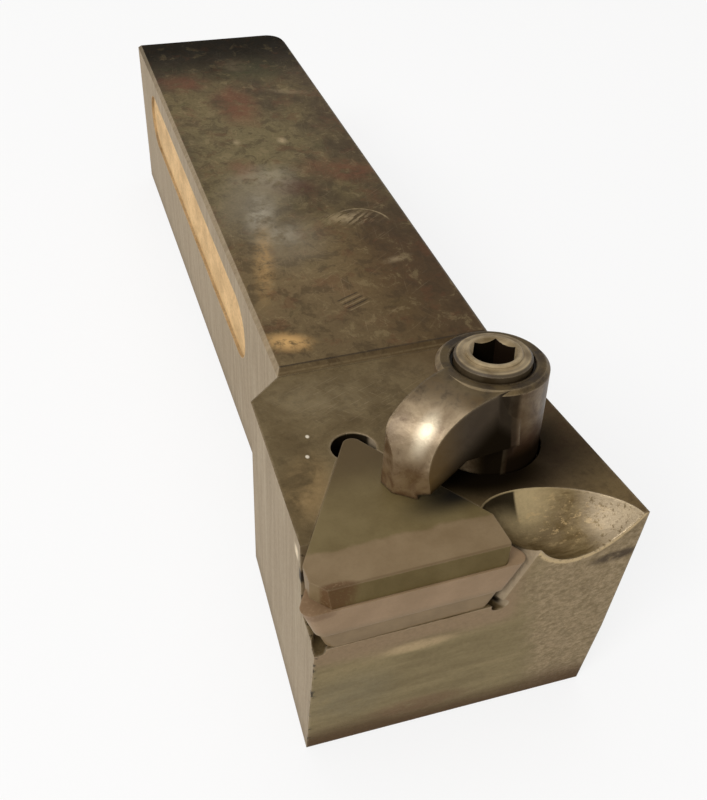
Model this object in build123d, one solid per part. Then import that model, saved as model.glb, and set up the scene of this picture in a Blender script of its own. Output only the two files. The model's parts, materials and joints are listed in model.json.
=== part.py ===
"""Turning tool holder: square shank, end-cutting head and a top clamp.

A triangular insert and its shim lie in a pocket milled in the head.  A loose chipbreaker plate
covers the insert, and the nose of a screwed clamp holds the whole stack down.  The clamp can be
raised by its screw and swung aside when the insert is turned or changed.

Everything is drawn in the tool maker's coordinates: x = 0 is the shank's offset side, y = 0 the
front cutting edge, z = 0 the underside.  The head's top and the pocket fall away from the cutting
edge by the rake angle.  The insert, its shim, its plate and the clamp are drawn in the pocket's own
frame: y runs back from the cutting edge along the insert's top, and z = 0 is that top.  At the end
all of it is moved so that the origin is the centre of the shank's underside, with +Y running from
the cutting end to the shank's end.
"""
from build123d import *
from math import atan, cos, degrees, pi, radians, sin, tan
import os

# ------------------------------------------------------------------ driving dimensions, in mm
shank_width = 31.75            # 1 1/4 in square bar
shank_height = 31.75
overall_length = 152.4         # cutting edge to the end of the shank
head_length = 40.25            # cutting edge to the shank's full height
gauge_width = 39.75            # plain side of the shank to the cutting corner
head_drop = 0.6                # foot of the step, below the shank's top
step_run = 1.2                 # length of the small ramp between the two heights
head_offset = 4.75             # how far the head stands out at its shoulder
head_offset_front = 6.4        # and at its front end
shoulder_run = 4.3             # length of the sloping shoulder
rake = 6.3                     # degrees: the head's top and the pocket fall from the cutting edge
front_setback = 0.15           # front face of the head, behind the insert's front face
foot_setback = 2.85            # its foot, behind the cutting edge, at the offset side
foot_skew = 1.7                # degrees: the foot comes forward towards the plain side
facet_angle = 3.3              # degrees: beside the insert the front face turns back
facet_start = 20.0             # where it starts to turn
facet_fall = 0.95              # degrees: how far that facet leans
flare_angle = 1.6              # degrees: plain side of the head, seen from above
flare_relief = 1.0             # degrees: the same side, seen from the front
shank_chamfer = 0.6
end_corner_radius = 4.0        # one rounded upright corner at the shank's end

mark_length = 82.0             # shallow milled marking area on the offset side, left bare
mark_height = 11.0
mark_depth = 0.5
mark_start = 58.0              # from the cutting edge
mark_bottom = 16.5

insert_circle = 15.875         # inscribed circle of the triangular insert, 5/8 in
insert_thickness = 4.7625
insert_relief = 11.0           # degrees, on all three sides
insert_nose = 1.2              # corner radius
shim_thickness = 3.175
shim_inset = 0.2               # shim outline inside the underside of the insert
plate_thickness = 2.45         # chipbreaker plate, flush with the head's top
plate_setback = 0.65           # its top front edge, behind the cutting edge
plate_toe = 0.25               # foot of its sloping front face, behind the cutting edge
plate_left = 1.4               # its cut-off end, inside the cutting corner
plate_right = 1.9              # its other cut-off end, inside the far corner
plate_corner = 1.2             # rounding of its far front corner
plate_cut = 2.2                # chamfer of the front corner beside the cutting corner
wall_fit = 0.0                 # insert and plate bear on the two pocket walls
front_run = 8.0                # the pocket's cutter runs out this far past the cutting edge

apex_hole_radius = 2.8         # relief bore where the pocket walls would meet
apex_hole_back = 2.0           # its centre, in front of the insert's apex
groove_radius = 0.9            # relief grooves along the foot of the pocket walls
groove_drop = -0.2             # their centre line, above the pocket floor
corner_opening = 7.7           # the offset side's thin wall is cut back to here
corner_slant = (0.62, 0.4)     # the cut's end follows these shares of that, towards the insert

scallop_centre = (23.3, 2.7)    # dished chip clearance beside the far insert corner
scallop_lift = 8.9             # height of the bowl's centre above the head's top
scallop_size = (12.2, 6.5, 14.0)
scallop_turn = -24.6           # degrees, seen from above

shim_screw_head = 7.4          # flat-headed screw under the insert
shim_screw_angle = 90.0
shim_screw_dia = 4.0
shim_screw_length = 9.0
shim_hole_clearance = 0.2
shim_screw_clearance = 0.05
shim_screw_recess = 0.35       # its head lies below the shim's top
shim_screw_spare = 1.5         # its hole is deeper than its point reaches
shim_socket = 2.5              # hexagon socket
shim_socket_depth = 1.6

clamp_x = 20.7                 # foot of the clamp's axis on the head's top face
clamp_y = 18.5
barrel_dia = 13.35
barrel_height = 11.66          # head face to barrel top, along the axis
barrel_sink = 2.2              # depth of the barrel's foot in its seat
barrel_chamfer = 0.5
seat_clearance = 0.3           # round the barrel's foot and under it
nose_reach = 15.85             # axis to the tip of the finger, at its foot
nose_lean = 0.8                # the tip leans back by this at the top
nose_corner = (1.9, 1.3)       # rounding of the nose's upright corners, right and left
finger_angle = 194.0           # degrees: where the finger points
flank_right_angle = 5.8        # degrees: its two flanks, seen from above
flank_left_angle = 22.5
flank_right_offset = 6.07      # distance of each flank's line from the axis
flank_right_foot = 7.85        # the right one leans: this is its distance at the foot
flank_left_offset = 2.43
pad_clearance = 0.1            # nose above the plate when clamped
pad_length = 2.3               # part of the nose that bears on the plate
arch_rise = 4.2                # clear height under the finger beside the barrel
back_radius = 9.15             # rounding of the finger's sloping back
back_angle = 231.0             # degrees: the way the back slopes down
back_start = 4.45              # where the rounding starts, from the axis
back_spread = 1.2              # its foot runs out a little further
tip_radius = 4.2               # rounding over the tip of the nose
pad_rise = 0.6                 # the arch starts this far above the pad's face
arch_gap = 1.2                 # its upper end, clear of the barrel

screw_dia = 6.35               # clamp screw, 1/4 in
thread_clearance = 0.075
screw_hub_dia = 9.25
screw_boss_dia = 6.8           # raised ring round the socket
screw_boss_height = 0.4
screw_stand = 0.87             # hub top above the barrel top
screw_flange_dia = 9.9
screw_flange_height = 3.9
running_clearance = 0.1
socket_across_flats = 4.7625   # 3/16 in hexagon socket
socket_depth = 4.6
socket_chamfer = 0.45
socket_lead = 0.1              # the chamfer is this much wider than the socket's corners
screw_point = 0.6              # chamfer at the screw's point
hub_chamfer = 0.3
boss_chamfer = 0.15
screw_length = 21.0            # below the flange
hole_spare = 3.6               # thread hole deeper than the screw reaches
bore_clearance = 0.3           # clamp body round the screw's shank

ring_section = 0.82            # retaining ring, radial
ring_thickness = 0.92
ring_gap = 2.4
ring_play = 0.05               # above and below the ring in its groove
ring_below_top = 0.4           # ring's upper face below the barrel top

# ------------------------------------------------------------------ sizes that follow from them
head_top = shank_height - head_drop
step_y = head_length - step_run
top_level = plate_thickness                # heights in the pocket's frame: the head's top,
insert_bottom = -insert_thickness          # the insert's underside,
pocket_floor = insert_bottom - shim_thickness          # and the pocket's floor
above_head = 2 * top_level                 # the pocket's cutters end here
cutting_height = head_top + step_y * tan(radians(rake)) - top_level / cos(radians(rake))
insert_side = insert_circle * tan(radians(60))
nose_pull = insert_nose / tan(radians(30)) - insert_nose
cutting_corner_x = shank_width - gauge_width
insert_left = cutting_corner_x - nose_pull
insert_x = insert_left + insert_side / 2
insert_y = insert_circle / 2
apex_y = insert_circle * 1.5
barrel_radius = barrel_dia / 2
hub_radius = screw_hub_dia / 2
flange_radius = screw_flange_dia / 2
counterbore_radius = flange_radius + running_clearance
ring_inner = hub_radius + running_clearance
ring_outer = ring_inner + ring_section
ring_top = barrel_height - ring_below_top
ring_bottom = ring_top - ring_thickness
flange_top = ring_bottom - ring_play
flange_bottom = flange_top - screw_flange_height
hub_top = barrel_height + screw_stand
seat_depth = barrel_sink + seat_clearance
screw_end = flange_bottom - screw_length
origin_shift = Pos(-shank_width / 2, -(head_length + overall_length) / 2, 0)
seat_frame = Pos(0, 0, cutting_height) * Rot(-rake, 0, 0)
clamp_frame = seat_frame * Pos(clamp_x, clamp_y, top_level)
far = 40.0                                 # longer than anything that a cut crosses in the head


def prism(points, bottom, top):
    """Upright solid on a plan outline."""
    return extrude(Pos(0, 0, bottom) * make_face(Polyline(*points, close=True)), top - bottom)


def triangle(inset, nose, z):
    """Plan outline of the insert, drawn in by an inset, with rounded corners."""
    radius = insert_circle / 2 - inset
    corners = [(2 * radius * cos(radians(a)), 2 * radius * sin(radians(a))) for a in (90, 210, 330)]
    face = make_face(Polyline(*corners, close=True))
    if nose > 0:
        face = fillet(face.vertices(), nose)
    return Pos(insert_x, insert_y, z) * face


def tapered_triangle(inset, nose, bottom, top):
    """Solid with the insert's relief on its three sides; inset 0 touches the pocket walls."""
    fall = tan(radians(insert_relief))
    low = triangle(inset - bottom * fall, nose, bottom)
    high = triangle(inset - top * fall, nose, top)
    return loft([low, high], ruled=True)


# ------------------------------------------------------------------ holder body
def shank():
    """Square bar with chamfered long edges and the small ramp down to the head."""
    side = [(step_y, 0), (overall_length, 0), (overall_length, shank_height),
            (head_length, shank_height), (step_y, head_top)]
    bar = extrude(Plane.YZ * make_face(Polyline(*side, close=True)), shank_width)
    corner = bar.edges().filter_by(Axis.Z).sort_by_distance((shank_width, overall_length, 0))[0]
    bar = fillet(corner, end_corner_radius)
    end_loop = bar.faces().sort_by(Axis.Y)[-1].edges()
    long_edges = bar.edges().filter_by(Axis.Y).filter_by(lambda e: e.length > head_length)
    return chamfer(long_edges + end_loop.filter_by(Axis.X), shank_chamfer)


def flare():
    """Plain side of the head: a wedge that widens to the front and leans in underneath."""
    run = step_y + front_run
    outline = [(shank_width / 2, step_y), (shank_width, step_y),
               (shank_width + run * tan(radians(flare_angle)), -front_run),
               (shank_width / 2, -front_run)]
    wedge = prism(outline, 0, 2 * shank_height)
    along = Vector(tan(radians(flare_angle)), -1, 0)
    down = Vector(-tan(radians(flare_relief)), 0, -1)
    side = Plane(origin=(shank_width, step_y, head_top), z_dir=along.cross(down))
    keep = Keep.BOTTOM if side.z_dir.X > 0 else Keep.TOP
    return split(wedge, bisect_by=side, keep=keep)


def front_outline(z):
    """Plan, at a height, of all that lies in front of the head's slightly twisted front face."""
    share = 1 - z / cutting_height
    ends = []
    for x in (-far, far):
        foot = foot_setback - x * tan(radians(foot_skew))
        ends.append((x, front_setback + share * (foot - front_setback)))
    points = ends + [(far, -far), (-far, -far)]
    return Pos(0, 0, z) * make_face(Polyline(*points, close=True))


def front_waste():
    """Metal in front of the head: a face under the insert, and a facet that turns back beside it."""
    under = loft([front_outline(-1), front_outline(2 * cutting_height)], ruled=True)
    facet = Pos(facet_start, front_setback, cutting_height) * Rot(facet_fall, 0, facet_angle)
    return under + facet * Box(
        4 * far, far, 4 * far, align=(Align.CENTER, Align.MAX, Align.CENTER))


def head_block():
    """Head with its shoulder, offset side, flare, sloping top and front faces."""
    outline = [(shank_width, step_y), (0, step_y),
               (-head_offset, step_y - shoulder_run), (-head_offset_front, 0),
               (-head_offset_front, -front_run), (shank_width, -front_run)]
    block = prism(outline, 0, 2 * shank_height) + flare()
    above = seat_frame * Pos(0, 0, top_level) * Box(
        4 * far, 4 * far, far, align=(Align.CENTER, Align.CENTER, Align.MIN))
    return block - above - front_waste()


def wall_outline(z):
    """Plan of the pocket at a height: its walls run out past the front face."""
    inset = -z * tan(radians(insert_relief))
    apex = insert_y + insert_circle - 2 * inset
    half = (apex + front_run) * tan(radians(30))
    points = [(insert_x, apex), (insert_x - half, -front_run), (insert_x + half, -front_run)]
    return Pos(0, 0, z) * make_face(Polyline(*points, close=True))


def pocket():
    """Seat for shim, insert and plate: two undercut walls and the relief bore at their apex."""
    seat = loft([wall_outline(pocket_floor), wall_outline(above_head)], ruled=True)
    bore = Pos(insert_x, apex_y - apex_hole_back, pocket_floor) * Cylinder(
        apex_hole_radius, above_head - pocket_floor, align=(Align.CENTER, Align.CENTER, Align.MIN))
    return seat + bore


def corner_relief():
    """Thin end of the offset side's pocket wall, milled away beside the cutting corner."""
    outside = -2 * head_offset_front
    middle, inner = (share * corner_opening for share in corner_slant)
    slot = [(outside, -front_run), (insert_x, -front_run), (insert_x, inner),
            (-head_offset / 2, middle), (-head_offset, corner_opening), (outside, corner_opening)]
    return prism(slot, pocket_floor, above_head)


def wall_grooves():
    """Round grooves along the foot of both walls, open at the front face."""
    inset = -pocket_floor * tan(radians(insert_relief))
    apex = Vector(insert_x, insert_y + insert_circle - 2 * inset, pocket_floor + groove_drop)
    rods = []
    for side in (-1, 1):
        run = Vector(side * sin(radians(30)), -cos(radians(30)), 0)
        rods.append(extrude(Plane(origin=apex, z_dir=run) * Circle(groove_radius), 2 * insert_side))
    return rods[0] + rods[1]


def scallop():
    """Dished chip clearance beside the far insert corner: a stretched, turned ball."""
    bowl = scale(Sphere(1), by=scallop_size)
    place = Pos(*scallop_centre, top_level + scallop_lift) * Rot(0, 0, scallop_turn)
    return seat_frame * place * bowl


def clamp_seat():
    """Round seat for the clamp's foot and the thread hole below it, square to the clamp's axis."""
    seat = Pos(0, 0, -seat_depth) * Cylinder(
        barrel_radius + seat_clearance, seat_depth + 4, align=(Align.CENTER, Align.CENTER, Align.MIN))
    bottom = screw_end - hole_spare
    hole = Pos(0, 0, bottom) * Cylinder(
        screw_dia / 2, -bottom, align=(Align.CENTER, Align.CENTER, Align.MIN))
    point = Pos(0, 0, bottom) * Cone(
        0.01, screw_dia / 2, screw_dia * 0.29, align=(Align.CENTER, Align.CENTER, Align.MAX))
    return clamp_frame * (seat + hole + point)


def holder_body():
    body = shank() + head_block()
    shim_hole = Pos(insert_x, insert_y, pocket_floor - shim_screw_length) * Cylinder(
        shim_screw_dia / 2, shim_screw_length, align=(Align.CENTER, Align.CENTER, Align.MIN))
    body -= seat_frame * pocket()
    body -= seat_frame * corner_relief()
    body -= seat_frame * wall_grooves()
    body -= seat_frame * shim_hole
    body -= scallop()
    body -= clamp_seat()
    mark_y = mark_start + mark_length / 2
    mark_z = mark_bottom + mark_height / 2
    mark = extrude(Plane(origin=(0, mark_y, mark_z), x_dir=(0, 1, 0), z_dir=(1, 0, 0))
                   * SlotOverall(mark_length, mark_height), mark_depth)
    return body - mark


# ------------------------------------------------------------------ insert stack
def shim_cone(clearance):
    """Countersink of the shim, or the flat head of its screw, from the shim's top down."""
    top = shim_screw_head / 2 + clearance
    low = shim_screw_dia / 2 + clearance
    height = (top - low) / tan(radians(shim_screw_angle / 2))
    return Pos(insert_x, insert_y, insert_bottom - height) * Cone(
        low, top, height, align=(Align.CENTER, Align.CENTER, Align.MIN))


def shim():
    body = tapered_triangle(shim_inset, insert_nose, pocket_floor, insert_bottom)
    hole = Pos(insert_x, insert_y, pocket_floor) * Cylinder(
        shim_screw_dia / 2 + shim_hole_clearance, shim_thickness,
        align=(Align.CENTER, Align.CENTER, Align.MIN))
    return seat_frame * (body - hole - shim_cone(shim_hole_clearance))


def shim_screw():
    top = Pos(insert_x, insert_y, insert_bottom - shim_screw_recess)
    length = shim_thickness - shim_screw_recess + shim_screw_length - shim_screw_spare
    shaft = top * Cylinder(
        shim_screw_dia / 2 - shim_screw_clearance, length,
        align=(Align.CENTER, Align.CENTER, Align.MAX))
    waste = top * Cylinder(
        shim_screw_head, insert_thickness, align=(Align.CENTER, Align.CENTER, Align.MIN))
    socket = top * extrude(
        RegularPolygon(shim_socket / 2, 6, major_radius=False), -shim_socket_depth)
    return seat_frame * ((shim_cone(0) + shaft) - waste - socket)


def insert():
    return seat_frame * tapered_triangle(wall_fit, insert_nose, insert_bottom, 0)


def chipbreaker():
    """Loose plate on the insert: cut-off ends, and a front face that slopes to its toe."""
    left = cutting_corner_x + plate_left
    right = insert_left + insert_side - nose_pull - plate_right
    blank = tapered_triangle(wall_fit, insert_nose, 0, plate_thickness)
    window = Pos((left + right) / 2, plate_toe, 0) * Box(
        right - left, 2 * far, plate_thickness, align=(Align.CENTER, Align.MIN, Align.MIN))
    plate = blank & window
    uprights = plate.edges().filter_by(Axis.Z)
    front = uprights.filter_by(lambda e: e.center().Y < plate_toe + plate_corner)
    plate = chamfer(front.sort_by(Axis.X)[0], plate_cut, plate_cut * 0.8)
    plate = fillet(plate.edges().filter_by(Axis.Z).filter_by(
        lambda e: e.center().Y < plate_toe + plate_corner).sort_by(Axis.X)[-1], plate_corner)
    slope = degrees(atan((plate_setback - plate_toe) / plate_thickness))
    waste = Pos(insert_x, plate_toe, 0) * Rot(-slope, 0, 0) * Box(
        2 * far, far, far, align=(Align.CENTER, Align.MAX, Align.CENTER))
    return seat_frame * (plate - waste)


# ------------------------------------------------------------------ clamp, drawn about its own axis
def direction(angle):
    return Vector(cos(radians(angle)), sin(radians(angle)), 0)


def flank_point(angle, offset, reach):
    """Point on a flank's line, at a distance along the finger's own direction."""
    run = direction(angle + 180)
    base = direction(angle + 90) * offset
    along = direction(finger_angle)
    travel = (reach - base.dot(along)) / run.dot(along)
    return base + run * travel


def finger_outline(right_offset, reach, z):
    """Plan of the finger at a height: wide beside the barrel, narrow at the nose."""
    right_nose = flank_point(flank_right_angle, -right_offset, reach)
    left_nose = flank_point(flank_left_angle, flank_left_offset, reach)
    left_root = direction(flank_left_angle + 90) * flank_left_offset
    right_root = direction(flank_right_angle + 90) * -right_offset
    points = [(p.X, p.Y) for p in (right_root, right_nose, left_nose, left_root)]
    face = make_face(Polyline(*points, close=True))
    for tip, radius in zip((right_nose, left_nose), nose_corner):
        face = fillet(face.vertices().sort_by_distance(tip)[0], radius)
    return Pos(0, 0, z) * face


def finger():
    """Finger blank: its right flank and its tip lean out towards the foot."""
    foot = finger_outline(flank_right_foot, nose_reach, pad_clearance)
    head = finger_outline(flank_right_offset, nose_reach - nose_lean, barrel_height)
    return loft([foot, head], ruled=True)


def side_plane(angle):
    """Upright plane through the clamp's axis, with its x axis along a direction."""
    along = direction(angle)
    return Plane(origin=(0, 0, 0), x_dir=along, z_dir=along.cross(Vector(0, 0, 1)))


def rounded_over(angle, start, radius, spread):
    """Everything under a profile that runs level to its start and then rounds down."""
    low = -2 * radius
    end = start + radius
    level = Polyline((-far, low), (-far, barrel_height), (start, barrel_height))
    bend = RadiusArc((start, barrel_height), (end, barrel_height - radius), radius)
    foot = Polyline((end, barrel_height - radius), (end + spread, low), (-far, low))
    return extrude(side_plane(angle) * make_face(level + bend + foot), far, both=True)


def arch():
    """Clear space under the finger, between its pad and the barrel."""
    pad = nose_reach - pad_length
    low = -barrel_sink
    face = make_face(Polyline(
        (0, low), (pad, low), (pad, pad_clearance + pad_rise), (barrel_radius + arch_gap, arch_rise),
        (0, arch_rise), (0, low)))
    return extrude(side_plane(finger_angle) * face, far, both=True)


def arm():
    """Finger with its rounded back and tip, worn upper edges and the arch under it."""
    blank = finger()
    blank = blank & rounded_over(back_angle, back_start, back_radius, back_spread)
    blank = blank & rounded_over(finger_angle, nose_reach - nose_lean - tip_radius, tip_radius, nose_lean)
    return blank - arch()


def clamp():
    low = -barrel_sink
    barrel = Pos(0, 0, low) * Cylinder(
        barrel_radius, barrel_height - low, align=(Align.CENTER, Align.CENTER, Align.MIN))
    top_rim = barrel.edges().filter_by(GeomType.CIRCLE).sort_by(Axis.Z)[-1]
    barrel = chamfer(top_rim, barrel_chamfer)
    bore = Pos(0, 0, 2 * low) * Cylinder(
        screw_dia / 2 + bore_clearance, 2 * barrel_height,
        align=(Align.CENTER, Align.CENTER, Align.MIN))
    bore += Pos(0, 0, flange_bottom) * Cylinder(
        counterbore_radius, barrel_height, align=(Align.CENTER, Align.CENTER, Align.MIN))
    bore += Pos(0, 0, ring_bottom - ring_play) * Cylinder(
        ring_outer + running_clearance, ring_thickness + 2 * ring_play,
        align=(Align.CENTER, Align.CENTER, Align.MIN))
    return clamp_frame * (barrel + arm() - bore)


def clamp_screw():
    """Screw with a hexagon socket in a stepped head; the flange lifts the clamp by its ring."""
    half = screw_dia / 2 - thread_clearance
    shaft = Pos(0, 0, screw_end) * Cylinder(
        half, flange_bottom - screw_end, align=(Align.CENTER, Align.CENTER, Align.MIN))
    shaft = chamfer(shaft.edges().filter_by(GeomType.CIRCLE).sort_by(Axis.Z)[0], screw_point)
    flange = Pos(0, 0, flange_bottom) * Cylinder(
        flange_radius, screw_flange_height, align=(Align.CENTER, Align.CENTER, Align.MIN))
    hub = Pos(0, 0, flange_bottom) * Cylinder(
        hub_radius, hub_top - flange_bottom, align=(Align.CENTER, Align.CENTER, Align.MIN))
    hub = chamfer(hub.edges().filter_by(GeomType.CIRCLE).sort_by(Axis.Z)[-1], hub_chamfer)
    boss = Pos(0, 0, hub_top) * Cylinder(
        screw_boss_dia / 2, screw_boss_height, align=(Align.CENTER, Align.CENTER, Align.MIN))
    boss = chamfer(boss.edges().filter_by(GeomType.CIRCLE).sort_by(Axis.Z)[-1], boss_chamfer)
    top = hub_top + screw_boss_height
    socket = Pos(0, 0, top) * extrude(
        RegularPolygon(socket_across_flats / 2, 6, major_radius=False), -socket_depth)
    wide = socket_across_flats / 2 / cos(radians(30)) + socket_lead
    lead = Pos(0, 0, top) * Cone(
        wide - socket_chamfer, wide, socket_chamfer, align=(Align.CENTER, Align.CENTER, Align.MAX))
    return clamp_frame * (shaft + flange + hub + boss - socket - lead)


def retaining_ring():
    """Split ring in the clamp's groove, above the screw's flange."""
    ring = Pos(0, 0, ring_bottom) * (
        Cylinder(ring_outer, ring_thickness, align=(Align.CENTER, Align.CENTER, Align.MIN))
        - Cylinder(ring_inner, ring_thickness, align=(Align.CENTER, Align.CENTER, Align.MIN)))
    gap = Pos(0, ring_inner, ring_bottom) * Box(
        ring_gap, 4 * ring_section, ring_thickness, align=(Align.CENTER, Align.CENTER, Align.MIN))
    return clamp_frame * (ring - gap)


def write(name, solid):
    solid = origin_shift * solid
    solid.label = name
    export_step(solid, f"parts/{name}.step")
    box = solid.bounding_box()
    print(f"{name:16s} {solid.volume:10.1f} mm3  {len(solid.solids())} solid(s)  "
          f"x {box.min.X:.2f}..{box.max.X:.2f}  y {box.min.Y:.2f}..{box.max.Y:.2f}  "
          f"z {box.min.Z:.2f}..{box.max.Z:.2f}")


def main():
    os.makedirs("parts", exist_ok=True)
    write("holder_body", holder_body())
    write("shim", shim())
    write("shim_screw", shim_screw())
    write("insert", insert())
    write("chipbreaker", chipbreaker())
    write("clamp", clamp())
    write("clamp_screw", clamp_screw())
    write("retaining_ring", retaining_ring())


main()
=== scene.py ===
# %% [markdown]
# # Turning tool holder: finishes, light and camera
# The packed solids are the frame of this scene, and they keep their shapes and places.
# A holder like this is milled and ground steel that has darkened, rusted and been rubbed bright
# again, so most of its look is in its surfaces. Each piece could be unwrapped and painted by hand.
# Instead, colour and wear are worked out here from where a point lies and which way it faces:
# that needs no unwrapping, keeps its true scale and stays on a piece when the piece moves.
# Places and sizes in the materials are millimetres in the part's own frame.

# %% load the frame
import json
import math

import bpy
from mathutils import Matrix, Vector


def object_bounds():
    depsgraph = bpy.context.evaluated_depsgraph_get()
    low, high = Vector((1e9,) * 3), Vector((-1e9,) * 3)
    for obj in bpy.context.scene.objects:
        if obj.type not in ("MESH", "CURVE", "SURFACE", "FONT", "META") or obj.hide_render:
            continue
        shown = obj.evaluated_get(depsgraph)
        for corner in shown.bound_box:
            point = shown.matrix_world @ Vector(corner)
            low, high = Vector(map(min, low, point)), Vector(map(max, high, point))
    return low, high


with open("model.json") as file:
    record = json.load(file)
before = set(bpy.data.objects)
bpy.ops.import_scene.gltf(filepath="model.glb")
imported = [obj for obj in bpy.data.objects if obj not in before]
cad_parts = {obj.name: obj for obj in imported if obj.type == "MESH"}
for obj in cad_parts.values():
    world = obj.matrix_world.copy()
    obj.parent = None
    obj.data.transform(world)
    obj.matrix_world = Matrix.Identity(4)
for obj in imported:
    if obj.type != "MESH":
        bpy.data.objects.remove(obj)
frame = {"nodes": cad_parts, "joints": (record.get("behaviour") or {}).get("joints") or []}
cad_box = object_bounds()
nodes = frame["nodes"]
print("nodes:", sorted(nodes))
print("CAD box, mm:", [[round(1000 * v, 1) for v in corner] for corner in cad_box])

# %% [markdown]
# ## Shader maths as expressions
# A worn finish is a stack of masks, and each mask is a sum: rust where the noise is high, on the
# upward faces, near the end. Such sums could be wired by hand from dozens of Math nodes.
# Wrapping a node's output in a small class lets them be written as plain arithmetic, and every
# operator adds its own node.

# %% sockets that can be added and multiplied


class Socket:
    """One output of a node. Arithmetic on it adds Math or Vector Math nodes."""

    def __init__(self, tree, output):
        self.tree = tree
        self.output = output
        self.is_vector = output.type in ("VECTOR", "RGBA")

    def apply(self, operation, *values):
        """A Vector Math node where a value is a colour or a vector, and otherwise a Math node."""
        vector = any(getattr(value, "is_vector", False) for value in values)
        if vector:
            values = [(v,) * 3 if isinstance(v, (int, float)) else v for v in values]
        kind = "ShaderNodeVectorMath" if vector else "ShaderNodeMath"
        return self.tree.node(kind, {"operation": operation}, dict(enumerate(values)))

    def __add__(self, other):
        return self.apply("ADD", self, other)

    def __radd__(self, other):
        return self.apply("ADD", other, self)

    def __sub__(self, other):
        return self.apply("SUBTRACT", self, other)

    def __rsub__(self, other):
        return self.apply("SUBTRACT", other, self)

    def __mul__(self, other):
        return self.apply("MULTIPLY", self, other)

    def __rmul__(self, other):
        return self.apply("MULTIPLY", other, self)

    def __truediv__(self, other):
        return self.apply("DIVIDE", self, other)

    def __rtruediv__(self, other):
        return self.apply("DIVIDE", other, self)

    def __abs__(self):
        return self.apply("ABSOLUTE", self)

    def most(self, other):
        return self.apply("MAXIMUM", self, other)

    def sine(self):
        return self.apply("SINE", self)

    def root(self):
        return self.apply("SQRT", self)

    def step(self, low, high):
        """0 at low and 1 at high, smooth between; low may be the larger."""
        return self.tree.node(
            "ShaderNodeMapRange", {"interpolation_type": "SMOOTHSTEP", "clamp": True},
            {"Value": self, "From Min": low, "From Max": high, "To Min": 0.0, "To Max": 1.0},
            output="Result")

    def within(self, low, high, soft):
        """1 between low and high, with soft edges."""
        return self.step(low - soft, low + soft) * self.step(high + soft, high - soft)


print("a socket knows:", sorted(name for name in vars(Socket) if not name.startswith("_")))

# %% [markdown]
# ## One method makes every other node
# Materials, the floor and the world all have node trees, and each tree could be filled with its
# own calls. One method serves them all: it takes a node's type, then its settings, then what goes
# into its sockets. `paint` lays colours over each other through masks, as coats of dirt lie.

# %% a node tree that is written as expressions
MIX_FACTOR, MIX_LOW, MIX_HIGH, MIX_RESULT = 0, 6, 7, 2   # a Mix node's sockets for colours


class Tree:
    """The node tree of a material or of the world."""

    def __init__(self, tree):
        self.tree = tree
        self.tree.nodes.clear()
        self.counted = 0

    def node(self, kind, settings=None, inputs=None, output=0):
        """Make a node and return one output, or a list of them where `output` is a tuple."""
        made = self.tree.nodes.new(kind)
        for name, value in (settings or {}).items():
            setattr(made, name, value)
        for key, value in (inputs or {}).items():
            if isinstance(value, Socket):
                self.tree.links.new(value.output, made.inputs[key])
            else:
                made.inputs[key].default_value = value
        if isinstance(output, tuple):
            return [Socket(self, made.outputs[name]) for name in output]
        return Socket(self, made.outputs[output]) if made.outputs else None

    def split(self, vector):
        """The three numbers of a vector."""
        return self.node("ShaderNodeSeparateXYZ", None, {"Vector": vector}, ("X", "Y", "Z"))

    def mix(self, amount, low, high):
        """Colour that is low where amount is 0 and high where it is 1."""
        return self.node("ShaderNodeMix", {"data_type": "RGBA"},
                         {MIX_FACTOR: amount, MIX_LOW: low, MIX_HIGH: high}, MIX_RESULT)

    def paint(self, base, *coats):
        """Lay colours over a base, each through its own mask; the last one is on top."""
        for mask, color in coats:
            base = self.mix(mask, base, color)
        return base

    def seen_rays(self):
        """1 for camera, glossy and transmission rays."""
        camera, glossy, through = self.node(
            "ShaderNodeLightPath", output=("Is Camera Ray", "Is Glossy Ray", "Is Transmission Ray"))
        return camera.most(glossy).most(through)

    def added(self):
        """How many nodes the tree has gained since this was last asked."""
        total = len(self.tree.nodes)
        gained, self.counted = total - self.counted, total
        return gained


print("a tree knows:", sorted(name for name in vars(Tree) if not name.startswith("_")))

# %% [markdown]
# ## Where a point lies
# The head's top is not level: it falls towards the shank, square to the clamp's axis, and the
# insert, the plate and the clamp all follow that slope. Masks there could use the part's own
# height, but a stain on a sloping face would then need a sloping formula each time. The clamp's
# joint already holds the slope and the axis, so the head's own frame is measured from it.

# %% the head's own frame
MM = 1000.0        # millimetres in a metre
HEAD_TOP = 2.45    # the head's top, above the sloping plane through the cutting edge

swivel = next(joint for joint in frame["joints"] if joint["name"] == "clamp_swivel")
clamp_x, clamp_y, clamp_z = (MM * value for value in swivel["pos_m"])
rake = math.asin(swivel["axis"][1])
edge_y = MM * cad_box[0].y
clamp_run = clamp_y - edge_y
edge_z = clamp_z - (HEAD_TOP - clamp_run * math.sin(rake)) / math.cos(rake)
clamp_back = clamp_run * math.cos(rake) - (clamp_z - edge_z) * math.sin(rake)
print("slope, degrees:", round(math.degrees(rake), 2), "clamp axis, mm:", round(clamp_x, 3),
      round(clamp_back, 3), "cutting edge, mm:", round(edge_y, 3), round(edge_z, 3))

# %% surfaces measured in millimetres


def turned(u, v, degrees):
    """The same two coordinates along axes that are turned by an angle."""
    c, s = math.cos(math.radians(degrees)), math.sin(math.radians(degrees))
    return u * c + v * s, v * c - u * s


def distance(*legs):
    """Straight distance over two or three legs at right angles."""
    total = legs[0] * legs[0]
    for leg in legs[1:]:
        total = total + leg * leg
    return total.root()


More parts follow.
